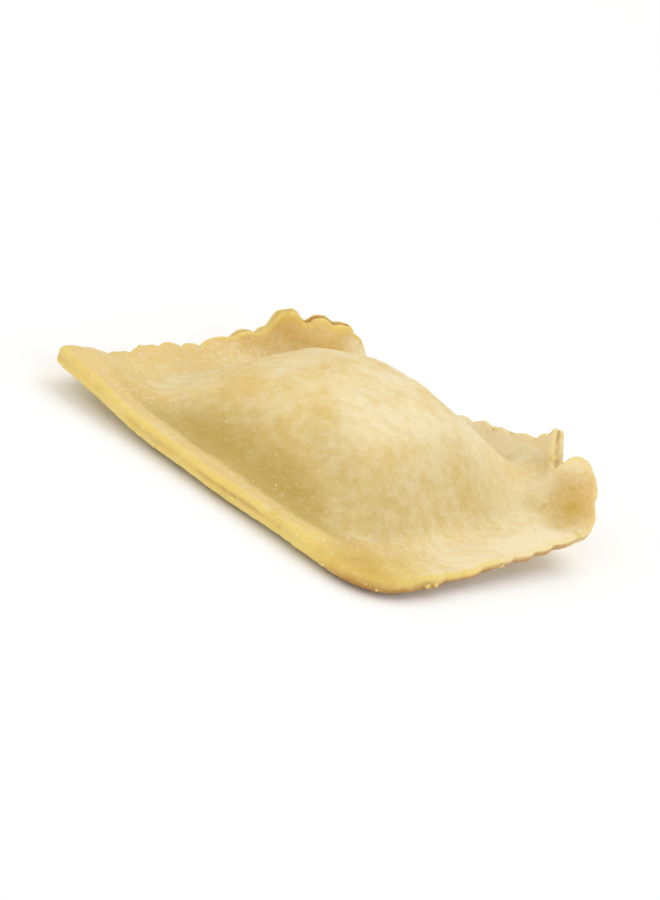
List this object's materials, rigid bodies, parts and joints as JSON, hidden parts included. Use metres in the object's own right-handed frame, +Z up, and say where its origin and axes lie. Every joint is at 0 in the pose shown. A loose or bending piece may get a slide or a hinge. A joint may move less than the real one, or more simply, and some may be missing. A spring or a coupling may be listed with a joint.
{
  "type": "ravioli",
  "caption": "Square pillow of fresh egg pasta round a soft filling, with a flat sealed border that is part fluted and part cut straight, and curled at the corners.",
  "frame": {"origin": "on the table, under the middle of the bounding box", "axes": "+Z up through the pillow, square to the table; +X and +Y along the sides of the square, with the straight cut on the -Y side"},
  "size_m": [0.0576, 0.0564, 0.0138],
  "materials": {
    "pasta": "matte fresh egg dough dusted with flour"
  },
  "bodies": {
    "root": {"raviolo": "pasta"}
  },
  "joints": []
}
